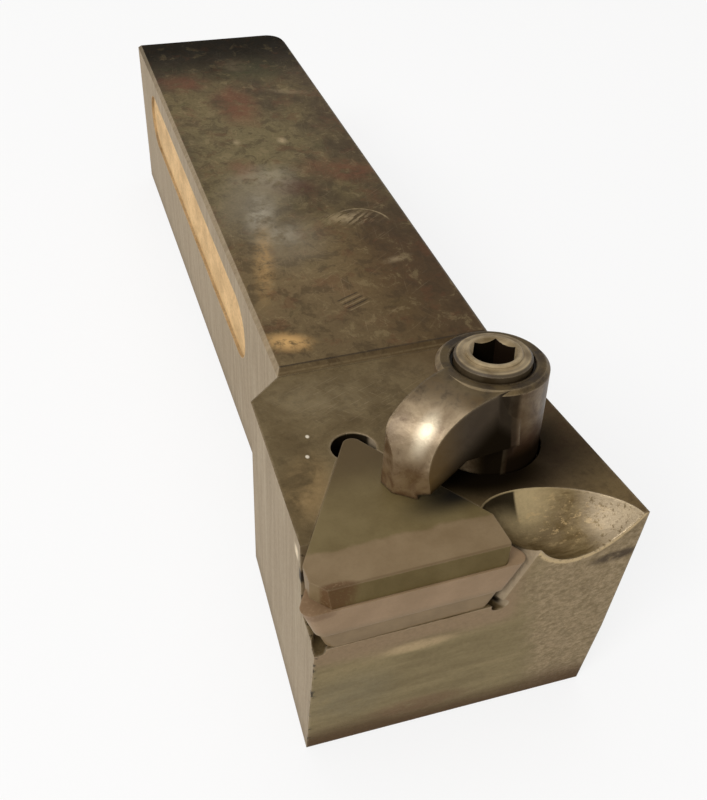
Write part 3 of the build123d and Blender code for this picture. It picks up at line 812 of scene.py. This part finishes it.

# %% [markdown]
# ### Colours and painted shadow on the chipbreaker plate
# The plate's front part is pinkish and its back part olive, darker further back, with the
# clamp's shadow painted beside the clamp. A straight border would look painted, so noise bends it.
# The plate's sloping front face is olive too, with a dark crease along its top and rust at the
# cutting corner.

# %% chipbreaker plate


def plate_stains(g, color, cloud, grain):
    """Olive back part, painted shadow beside the clamp, olive front face, and rust in the corner."""
    upward = g.nz.step(0.5, 0.9)
    olive = g.mix(cloud.step(0.3, 0.7), rgb(98, 84, 53), rgb(110, 96, 64))
    olive = g.mix(g.hy.step(12.0, 20.0) * 0.8, olive, rgb(70, 54, 30))
    olive_back = (g.hy - 6.0 - (cloud - 0.5) * 2.2).step(-0.35, 0.35) * upward
    # painted shadow of the clamp on the plate
    painted_clamp_shadow_on_plate = blob(g, -1.0, -85.6, 6.5, 2.2, 0.7, 12) * upward
    front_olive = g.mix(cloud.step(0.3, 0.7), rgb(84, 70, 38), rgb(96, 82, 50))
    u, v = (g.x + 20.2) / 2.6, (g.hy - 0.8) / 0.8
    corner = (u * u + v * v).step(1.4, 0.3) * grain.step(0.25, 0.5) * 0.7
    crease = g.hy.within(0.55, 1.0, 0.12) * upward
    return g.paint(
        color,
        (olive_back, olive),
        (painted_clamp_shadow_on_plate, rgb(14, 10, 5)),
        (g.ny.step(-0.5, -0.9), front_olive),
        (corner, rgb(78, 48, 22)),
        (crease * 0.45, rgb(80, 62, 36)))


dress("chipbreaker", carbide("plate_carbide", rgb(128, 109, 82), rgb(116, 97, 70), plate_stains))

# %% [markdown]
# ## Clamp
# The clamp is a curved finger on a round barrel: worn steel, with shade painted brown and black
# into its hollows and a highlight painted on its crest. Its top near the barrel is stained, its
# nose is reddish brown, and the flank beside the arch is painted nearly black as shade. Each zone
# could be its own material, but the clamp is one piece and its zones run into each other, so one
# material holds them all, over this clouded bare steel.

# %% bare steel of the clamp
g = Surface("clamp_steel")
cloud = noise(g, 4.0, 5, 0.6, shift=6.3, warp=0.3)
small = noise(g, 1.6, 5, 0.65, shift=12.0, warp=0.3)
grain = noise(g, 0.4, 4, 0.7, shift=2.9)
high = g.hz - HEAD_TOP                     # height above the head's top
color = g.mix(cloud.step(0.38, 0.62), rgb(76, 56, 32), rgb(138, 120, 94))
color = g.mix(small.step(0.52, 0.68) * 0.5, color, rgb(80, 56, 32))
print("clamp steel:", g.added(), "nodes")

# %% [markdown]
# ### Stained top and nose
# The top beside the barrel, the rim round the screw and the nose each have their own pair of browns.
# Such zones could be picked face by face. Height over the head, distance from the clamp's axis and
# facing pick them here, because those hold however the finger is curved.

# %% stained top, boss and nose
top_stain = g.nz.step(0.85, 0.97) * high.step(8.5, 10.5)
boss = g.axial.step(8.0, 6.6) * g.nz.step(0.5, 0.8)
nose = high.step(6.0, 1.0) * g.x.step(-2.0, -6.0)
color = g.paint(
    color,
    (top_stain * 0.9, g.mix(small.step(0.4, 0.6), rgb(56, 38, 7), rgb(88, 64, 20))),
    (boss * 0.85, g.mix(cloud.step(0.4, 0.6), rgb(44, 31, 11), rgb(104, 86, 52))),
    (nose * 0.75, g.mix(small.step(0.4, 0.65), rgb(82, 58, 36), rgb(112, 92, 64))))
print("stained top, boss and nose:", g.added(), "nodes")

# %% [markdown]
# ### Painted shade on the flank and barrel
# The flat flank beside the arch lies in shade, so it is painted dark brown, turning black towards
# the barrel's foot. Facing alone could pick it, but would also catch the barrel's own front, so the
# flank is limited to what is outside the barrel's circle. The barrel has painted shade on its side
# towards the finger, where the finger's shadow falls, and towards its foot.

# %% flank and barrel
off_barrel = strongest(g.axial.step(6.55, 6.75), g.x.step(4.3, 3.7))
flank = g.ny.step(-0.72, -0.92) * g.nx.step(0.4, 0.2) * off_barrel
flank = flank * g.x.step(4.9, 4.2) * g.x.step(-9.3, -7.8)
# painted shade: the flank is dark brown, and matt black low down towards the barrel
shaded_flank_brown = g.mix(g.x.step(-1.0, -6.0), rgb(46, 33, 12), rgb(88, 66, 28))
painted_flank_shade = flank * (high + abs(g.x - 2.5) * 0.8).step(11.5, 6.5)
# painted shade on the barrel: on its side towards the finger and towards its foot
barrel = g.x.step(4.0, 4.6) * g.nz.step(0.5, 0.2)
barrel_foot_shade = barrel * high.step(5.0, 1.4)
color = g.paint(
    color,
    (flank * (0.8 + 0.2 * cloud), shaded_flank_brown),
    (barrel * 0.7 * g.nx.step(0.55, 0.1), rgb(70, 52, 27)),
    (barrel * high.step(8.0, 3.0) * (0.6 + 0.6 * small), rgb(54, 32, 17)))
print("flank and barrel:", g.added(), "nodes")

# %% [markdown]
# ### Painted highlight on the crest, and worn edges
# The finger's crest has a painted highlight and a painted sheen, and it is smoother and more
# metallic there. The bright spot could be left to a lamp alone, but it is painted as well. The seam
# between finger and barrel is painted dark as shade, so edge wear is held off there.

# %% crest and edges
off_flank = g.ny.step(-0.93, -0.8)
# painted sheen and a painted highlight on the finger's crest
painted_sheen = blob(g, -5.4, -82.0, 5.0, 3.6, 0.9, 35) * high.step(3.0, 5.5)
painted_sheen = painted_sheen * g.nz.step(0.1, 0.35) * off_flank
painted_crest_highlight = blob(g, -5.9, -82.9, 1.5, 0.8, 0.9, 35) * g.nz.step(0.3, 0.5) * off_flank
# the seam between finger and barrel: no edge wear there, and painted shade through the matt black
seam = g.x.within(2.5, 5.2, 0.4) * g.nz.step(0.5, 0.2)
wear = edges(g, 0.7).step(0.02, 0.16) * grain.step(0.25, 0.5) * high.step(3.0, 6.0) * (1.0 - seam)
color = g.paint(
    color,
    (painted_sheen * 0.45 * small.step(0.25, 0.55), rgb(160, 142, 114)),
    (painted_crest_highlight * 0.6, rgb(232, 218, 190)),
    (wear * 0.5, rgb(180, 160, 128)))
print("crest and edges:", g.added(), "nodes")

# %% [markdown]
# ### Gloss, soot and painted shade of the clamp
# Handled steel shines where it is rubbed and is dead black where no light reaches. Both could be
# painted as colour alone, but then the clamp would look printed. Roughness and metallic follow the
# wear and the painted sheen, and the matt black is painted shade in the flank, on the underside,
# at the barrel's foot and in the seam, and soot on the stained top and the boss.

# %% finish the clamp
# painted shade: the underside, the flank, the barrel's foot and the seam take the matt black
underside_shade = g.nz.step(-0.05, -0.3)
soot = strongest(painted_flank_shade * 0.97, flank * 0.25, underside_shade, barrel_foot_shade * 0.95, seam * 0.75,
                 top_stain * 0.5, boss * 0.3)
rough = 0.44 + 0.18 * (cloud - 0.5) + 0.12 * (small - 0.5) - 0.1 * wear - 0.10 * painted_sheen
metallic = (0.10 + 0.3 * wear + 0.18 * painted_sheen) * (1.0 - flank)
relief = grain * 0.4 + cloud * 1.2 + small * 0.8
dress("clamp", finish(g, color, rough, metallic, relief, 0.06, 0.5, gloss=0.3, soot=soot))

# %% [markdown]
# ## Clamp screw
# The screw's head is turned, so it has fine rings round its axis. Its hexagon socket is painted
# black as shade, with its lit wall brown, and the side wall round its top is painted dark as shade.
# The rings could be cut as grooves, but they are too shallow to cast a shadow. A sine of the
# distance from the axis draws them as darker lines, and they stay true as the screw turns.

# %% clamp screw
RING_WAVES = 5.2                           # radians of ring for each millimetre
SOCKET_EDGE, SHADED_WALL_EDGE = 3.0, 4.2        # radius round the socket; where the bright top ends


def screw_steel():
    g = Surface("screw_steel")
    cloud = noise(g, 3.0, 4, 0.6, shift=8.8)
    grain = noise(g, 0.3, 3, 0.7)
    ring = (g.axial * RING_WAVES).sine() * 0.5 + 0.5
    wear = edges(g, 0.3).step(0.02, 0.16)
    # painted shade in the socket: black, with its lit wall brown
    socket = g.axial.step(SOCKET_EDGE, SOCKET_EDGE - 0.14)
    socket = socket * strongest(g.nz.step(0.7, 0.4), g.hz.step(14.5, 13.0))
    socket_shade_colors = g.mix(g.nx.step(-0.2, -0.8), rgb(3, 3, 2), rgb(26, 16, 7))
    # painted shade on the head's side wall outside the bright top, and in the socket
    color = g.paint(
        g.mix(cloud.step(0.3, 0.7), rgb(100, 82, 50), rgb(154, 136, 104)),
        (ring.step(0.55, 0.95) * 0.35 * g.nz.step(0.5, 0.9), rgb(60, 46, 26)),
        (g.axial.step(SHADED_WALL_EDGE, SHADED_WALL_EDGE + 0.25) * 0.85, rgb(34, 23, 11)),
        (wear * 0.45, rgb(172, 154, 124)),
        (socket, socket_shade_colors))
    rough = 0.42 + 0.15 * (cloud - 0.5)
    return finish(g, color, rough, 0.15, grain, 0.03, 0.15, gloss=0.3,
                  soot=socket * g.nx.step(-0.9, -0.3))


dress("clamp_screw", screw_steel())

# %% [markdown]
# ## Retaining ring and shim screw
# The ring is black spring steel that only shows as a dark line round the screw, and the shim's
# screw is hidden under the insert. A flat colour would do for both at rest, but they can be seen
# when the clamp is lifted or the pieces are taken apart. They share one simple cloudy steel.

# %% small dark steel pieces


def cloudy_steel(name, dark, light, metallic, **coat):
    """Steel clouded between two colours, rougher where it is lighter."""
    g = Surface(name)
    cloud = noise(g, 1.5, 4, 0.6)
    color = g.mix(cloud.step(0.35, 0.7), dark, light)
    return finish(g, color, 0.4 + 0.2 * cloud, metallic, cloud, 0.02, 0.1, **coat)


dress("retaining_ring", cloudy_steel("ring_steel", rgb(20, 15, 9), rgb(50, 37, 21), 0.1,
                                     gloss=0.3, soot=0.6))
dress("shim_screw", cloudy_steel("shim_screw_steel", rgb(52, 46, 38), rgb(84, 76, 62), 0.6))

# %% [markdown]
# ## Floor
# A small tool is shown on a sheet of pale paper. Plain paper lit by soft lamps comes out grey, and
# more light on it would bleach the steel. So rays that come straight from the camera, or by way of
# a reflection, see four fifths of even white, and the fifth that stays paper keeps the shadow.

# %% floor
FLOOR_REACH, FLOOR_DROP = 3.0, 0.0002      # metres; the drop keeps it clear of the underside
WHITE_SHARE = 0.8
WHITE, PAPER = (1.0, 1.0, 1.0, 1.0), (0.84, 0.84, 0.85, 1.0)

floor_mesh = bpy.data.meshes.new("floor")
floor_corners = [(x * FLOOR_REACH, y * FLOOR_REACH, -FLOOR_DROP)
                 for x, y in ((-1, -1), (1, -1), (1, 1), (-1, 1))]
floor_mesh.from_pydata(floor_corners, [], [(0, 1, 2, 3)])
floor = bpy.data.objects.new("floor", floor_mesh)
bpy.context.scene.collection.objects.link(floor)
g = Surface("floor_paper")
paper = g.node("ShaderNodeBsdfPrincipled", None, {"Base Color": PAPER, "Roughness": 0.9})
white = g.node("ShaderNodeEmission", None, {"Color": WHITE, "Strength": 1.0})
sheet = g.node("ShaderNodeMixShader", None, {0: g.seen_rays() * WHITE_SHARE, 1: paper, 2: white})
g.node("ShaderNodeOutputMaterial", None, {"Surface": sheet})
floor_mesh.materials.append(g.material)
print("floor:", 2 * FLOOR_REACH, "m square")

# %% [markdown]
# ## Lamps
# Steel needs a broad highlight to look like steel, and the key lamp gives the one on the clamp's
# crest, over a highlight that is painted there as well. One lamp would leave the offset side and
# the front black. Three weaker lamps open those up, each turned to the same point in the middle of
# the head, so that only place, size and power have to be chosen.

# %% lamps


def area_lamp(name, place, target, size, power, color):
    """A rectangular lamp that faces a point; sizes are metres and power is watts."""
    light = bpy.data.lights.new(name, "AREA")
    light.shape = "RECTANGLE"
    light.size, light.size_y = size
    light.energy = power
    light.color = color
    lamp = bpy.data.objects.new(name, light)
    bpy.context.scene.collection.objects.link(lamp)
    lamp.location = place
    lamp.rotation_euler = (Vector(target) - Vector(place)).to_track_quat("-Z", "Y").to_euler()


LIT_POINT = (0.0, -0.04, 0.02)
WARM, NEUTRAL = (1.0, 0.985, 0.96), (1.0, 0.99, 0.975)
area_lamp("key", (-0.60, -0.43, 0.66), LIT_POINT, (0.32, 0.32), 4.4, WARM)
area_lamp("side", (-0.75, 0.10, 0.30), LIT_POINT, (0.5, 0.5), 1.1, WARM)
area_lamp("top", (0.05, 0.15, 0.75), LIT_POINT, (0.6, 0.6), 1.5, NEUTRAL)
area_lamp("front", (-0.05, -0.75, 0.22), LIT_POINT, (0.4, 0.3), 0.8, WARM)

# %% [markdown]
# ## World
# The background is white for the camera and in reflections, so that the metal mirrors what is seen
# round it. As a light on the object that white would be far too strong, so all other rays meet a
# dim, slightly warm sky that only fills the shadows.

# %% world
SKY_COLOR, SKY_STRENGTH = (1.0, 0.97, 0.93, 1.0), 0.36

world = bpy.data.worlds.new("studio")
bpy.context.scene.world = world
world.use_nodes = True
sky = Tree(world.node_tree)
seen = sky.node("ShaderNodeBackground", None, {"Color": WHITE})
unseen = sky.node("ShaderNodeBackground", None, {"Color": SKY_COLOR, "Strength": SKY_STRENGTH})
blend = sky.node("ShaderNodeMixShader", None, {0: sky.seen_rays(), 1: unseen, 2: seen})
sky.node("ShaderNodeOutputWorld", None, {"Surface": blend})
bpy.context.scene.view_settings.view_transform = "Standard"
print("world:", sky.added(), "nodes; view transform", bpy.context.scene.view_settings.view_transform)

# %% [markdown]
# ## Camera
# The holder is seen from near by, high in front of its cutting end, so the shank narrows strongly
# towards its far end. Aiming a camera at a point gives no roll, and this view leans a little. So
# the three axes of the camera are worked out from two angles and the roll, and set as a matrix.

# %% camera
AZIMUTH, ELEVATION, ROLL = map(math.radians, (-21.258, 42.149, 3.703))
CAMERA_PLACE = Vector((-0.040838, -0.150051, 0.114368))   # metres
FOCAL_PIXELS, IMAGE_HEIGHT = 945.83, 800                  # focal length in pixels of this height
SENSOR, NEAREST = 36.0, 0.005                             # sensor, mm, and clip start, metres

look = Vector((-math.sin(AZIMUTH) * math.cos(ELEVATION), math.cos(AZIMUTH) * math.cos(ELEVATION),
               -math.sin(ELEVATION)))
level_right = Vector((math.cos(AZIMUTH), math.sin(AZIMUTH), 0.0))
level_up = level_right.cross(look)
right = level_right * math.cos(ROLL) + level_up * math.sin(ROLL)
up = level_up * math.cos(ROLL) - level_right * math.sin(ROLL)
camera_data = bpy.data.cameras.new("camera")
camera_data.sensor_width = SENSOR
camera_data.lens = FOCAL_PIXELS / IMAGE_HEIGHT * SENSOR
camera_data.clip_start = NEAREST
camera = bpy.data.objects.new("camera", camera_data)
bpy.context.scene.collection.objects.link(camera)
camera.matrix_world = Matrix((right, up, -look)).transposed().to_4x4()
camera.location = CAMERA_PLACE
bpy.context.scene.camera = camera
print("camera lens, mm:", round(camera_data.lens, 2), "at", [round(MM * v, 1) for v in CAMERA_PLACE])

# %% [markdown]
